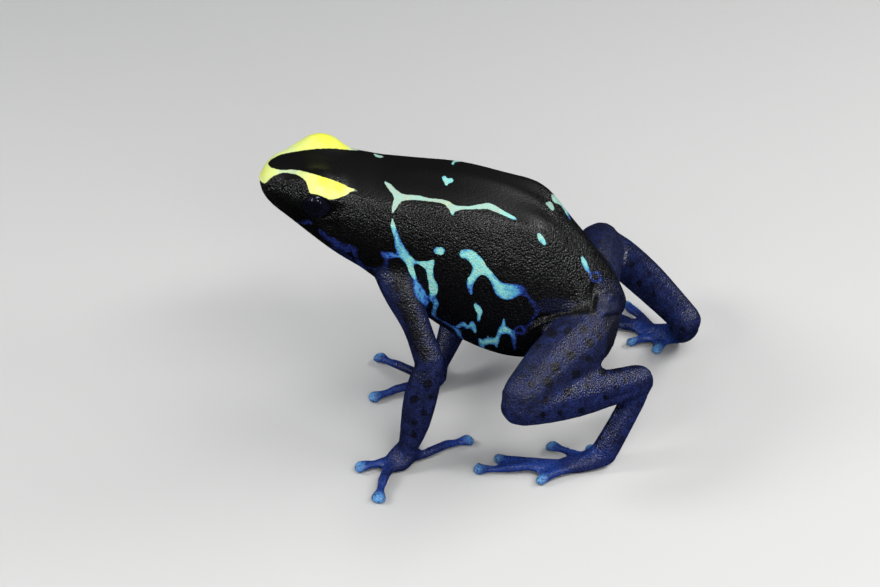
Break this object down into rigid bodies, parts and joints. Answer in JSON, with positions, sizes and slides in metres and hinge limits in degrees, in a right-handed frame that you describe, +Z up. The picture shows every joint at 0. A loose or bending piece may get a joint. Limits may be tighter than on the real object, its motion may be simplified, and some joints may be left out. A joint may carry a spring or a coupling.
{
  "type": "dyeing poison dart frog",
  "caption": "Life-size still model of a dyeing poison dart frog standing with raised head, black with yellow head stripes, a pale blue net and blue legs.",
  "frame": {"origin": "centre of the animal's outline on the floor that it stands on", "axes": "+Z up, the snout points towards -X and the animal's left side is towards -Y"},
  "size_m": [0.0514, 0.0414, 0.034],
  "materials": {
    "skin_black": "moist satin skin, finely granular on the flanks",
    "skin_blue": "moist satin skin, finely speckled",
    "eye": "wet gloss"
  },
  "bodies": {
    "root": {"head": "skin_black", "torso": "skin_black", "eye_left": "eye", "eye_right": "eye", "upper_arm_left": "skin_blue", "forearm_left": "skin_blue", "hand_left": "skin_blue", "upper_arm_right": "skin_blue", "forearm_right": "skin_blue", "hand_right": "skin_blue", "thigh_left": "skin_blue", "shank_left": "skin_blue", "tarsus_left": "skin_blue", "foot_left": "skin_blue", "thigh_right": "skin_blue", "shank_right": "skin_blue", "tarsus_right": "skin_blue", "foot_right": "skin_blue"}
  },
  "joints": []
}
